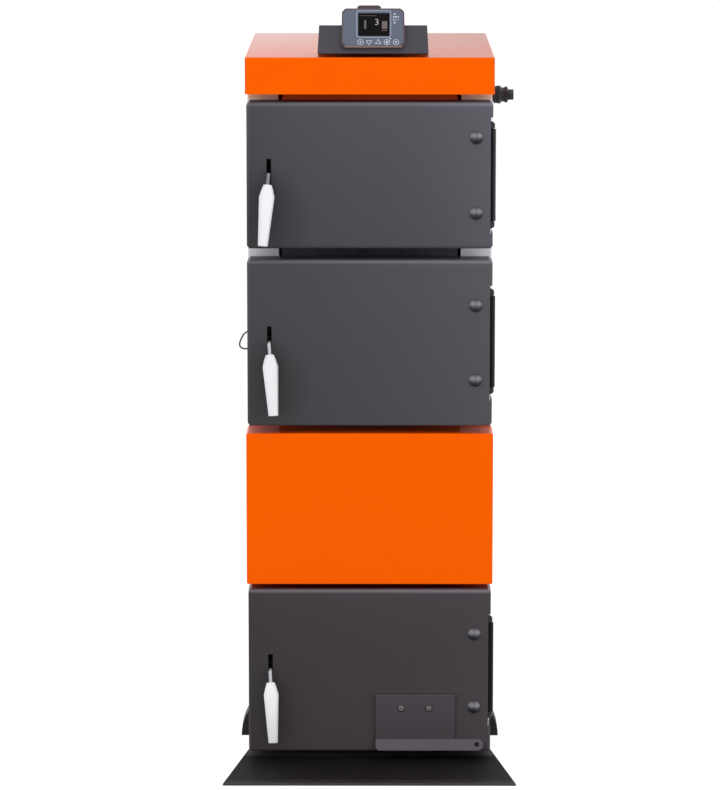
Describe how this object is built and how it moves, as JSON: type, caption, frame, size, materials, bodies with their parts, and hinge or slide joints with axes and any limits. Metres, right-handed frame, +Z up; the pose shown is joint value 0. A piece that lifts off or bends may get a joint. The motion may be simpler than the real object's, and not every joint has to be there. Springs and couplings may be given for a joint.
{
  "type": "solid fuel boiler",
  "caption": "Upright steel solid fuel boiler: charcoal front doors with lifting handles, orange cover and front panel, ash apron and a controller on top.",
  "frame": {"origin": "on the floor under the middle of the casing", "axes": "+Z up, -Y out of the doors, +X to the right seen from the front, where the hinges are"},
  "size_m": [0.5895, 0.971, 1.5466],
  "materials": {
    "black_steel": "matte",
    "pale_sheet": "satin",
    "orange_powder": "satin",
    "jacket_steel": "matte",
    "grate_iron": "rough",
    "controller_shell": "satin",
    "controller_face": "satin",
    "display_glass": "gloss",
    "black_plastic": "matte",
    "lead_sheath": "satin",
    "charcoal_powder": "textured",
    "plate_steel": "matte",
    "rope_seal": "woven",
    "zinc_rod": "satin",
    "white_grip": "satin"
  },
  "bodies": {
    "root": {"base_frame": "black_steel", "floor_apron": "black_steel", "foot_brackets": "black_steel", "side_panel_left": "pale_sheet", "side_panel_right": "pale_sheet", "back_panel": "pale_sheet", "top_cover": "orange_powder", "front_panel": "orange_powder", "jacket_left": "jacket_steel", "jacket_right": "jacket_steel", "jacket_back": "jacket_steel", "jacket_top": "jacket_steel", "jacket_bottom": "jacket_steel", "jacket_posts": "jacket_steel", "jacket_lintels": "jacket_steel", "smoke_shelves": "jacket_steel", "grate": "grate_iron", "opening_collars": "black_steel", "hinge_brackets": "black_steel", "latch_keepers": "black_steel", "flue_outlet": "black_steel", "water_stubs": "black_steel", "drain_stub": "black_steel", "controller_bracket": "black_steel", "controller_housing": "controller_shell", "controller_box": "controller_shell", "controller_fascia": "controller_face", "controller_display": "display_glass", "cable_gland": "black_plastic", "lead_grommets": "black_plastic", "sensor_lead": "lead_sheath"},
    "upper_door": {"upper_door_cover": "charcoal_powder", "upper_door_plate": "plate_steel", "upper_door_seal": "rope_seal", "upper_door_hinge": "charcoal_powder"},
    "upper_handle": {"upper_handle_lever": "zinc_rod", "upper_handle_grip": "white_grip"},
    "loading_door": {"loading_door_cover": "charcoal_powder", "loading_door_plate": "plate_steel", "loading_door_seal": "rope_seal", "loading_door_hinge": "charcoal_powder"},
    "loading_handle": {"loading_handle_lever": "zinc_rod", "loading_handle_grip": "white_grip"},
    "ash_door": {"ash_door_cover": "charcoal_powder", "ash_door_plate": "plate_steel", "ash_door_seal": "rope_seal", "ash_door_hinge": "charcoal_powder"},
    "ash_handle": {"ash_handle_lever": "zinc_rod", "ash_handle_grip": "white_grip"},
    "air_flap_body": {"air_flap": "charcoal_powder"}
  },
  "joints": [
    {"name": "upper_door_hinge_joint", "type": "hinge", "parent": "root", "child": "upper_door", "pos_m": [0.2455, -0.34, 1.204], "axis": [0, 0, 1], "range_deg": [0, 110]},
    {"name": "upper_handle_lift", "type": "hinge", "parent": "upper_door", "child": "upper_handle", "pos_m": [-0.2035, -0.369, 1.208], "axis": [-1, 0, 0], "range_deg": [-5, 40]},
    {"name": "loading_door_hinge_joint", "type": "hinge", "parent": "root", "child": "loading_door", "pos_m": [0.2455, -0.34, 0.863], "axis": [0, 0, 1], "range_deg": [0, 110]},
    {"name": "loading_handle_lift", "type": "hinge", "parent": "loading_door", "child": "loading_handle", "pos_m": [-0.2035, -0.369, 0.867], "axis": [-1, 0, 0], "range_deg": [0, 45]},
    {"name": "ash_door_hinge_joint", "type": "hinge", "parent": "root", "child": "ash_door", "pos_m": [0.2455, -0.34, 0.1835], "axis": [0, 0, 1], "range_deg": [0, 110]},
    {"name": "ash_handle_lift", "type": "hinge", "parent": "ash_door", "child": "ash_handle", "pos_m": [-0.2035, -0.369, 0.1875], "axis": [-1, 0, 0], "range_deg": [0, 45]},
    {"name": "air_flap_hinge", "type": "hinge", "parent": "ash_door", "child": "air_flap_body", "pos_m": [0.09375, -0.397, 0.135], "axis": [-1, 0, 0], "range_deg": [0, 45]}
  ]
}
